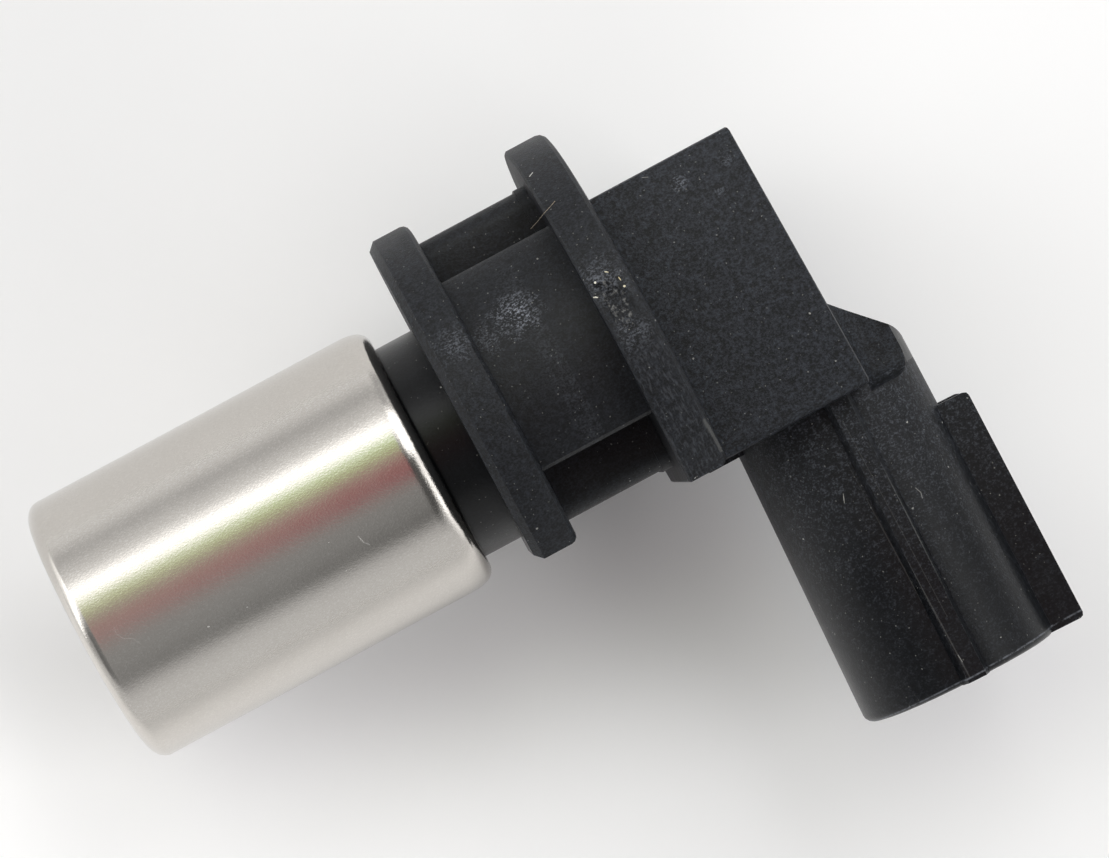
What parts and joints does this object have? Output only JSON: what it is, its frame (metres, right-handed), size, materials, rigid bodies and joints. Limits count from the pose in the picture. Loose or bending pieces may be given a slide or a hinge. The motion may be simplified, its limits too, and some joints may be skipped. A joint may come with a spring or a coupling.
{
  "type": "crankshaft position sensor",
  "caption": "Barrel-shaped crankshaft position sensor with a steel-capped sensing end, a flanged clamp channel and a right-angled sealed plug connector.",
  "frame": {"origin": "centre of the sensing tip's flat end face", "axes": "+X along the barrel from the sensing tip to the rear block, -Y along the connector to its mouth, +Z out of the side with the keying rib"},
  "size_m": [0.0558, 0.043, 0.029],
  "materials": {
    "cap_steel": "satin drawn steel",
    "housing_plastic": "glass-filled, fine grain",
    "seal_rubber": "matt",
    "bobbin_plastic": "natural moulding",
    "winding_copper": "enamelled copper wire",
    "coil_tape": "polyester film",
    "core_iron": "turned soft iron",
    "magnet_alloy": "sintered, plain",
    "tinned_brass": "tin plated"
  },
  "bodies": {
    "root": {"steel_cap": "cap_steel", "sensor_housing": "housing_plastic", "cap_seal_ring": "seal_rubber", "coil_bobbin": "bobbin_plastic", "coil_winding": "winding_copper", "coil_tape": "coil_tape", "pole_piece": "core_iron", "magnet": "magnet_alloy", "winding_post_near": "tinned_brass", "winding_post_far": "tinned_brass", "terminal_near": "tinned_brass", "terminal_far": "tinned_brass"}
  },
  "joints": []
}
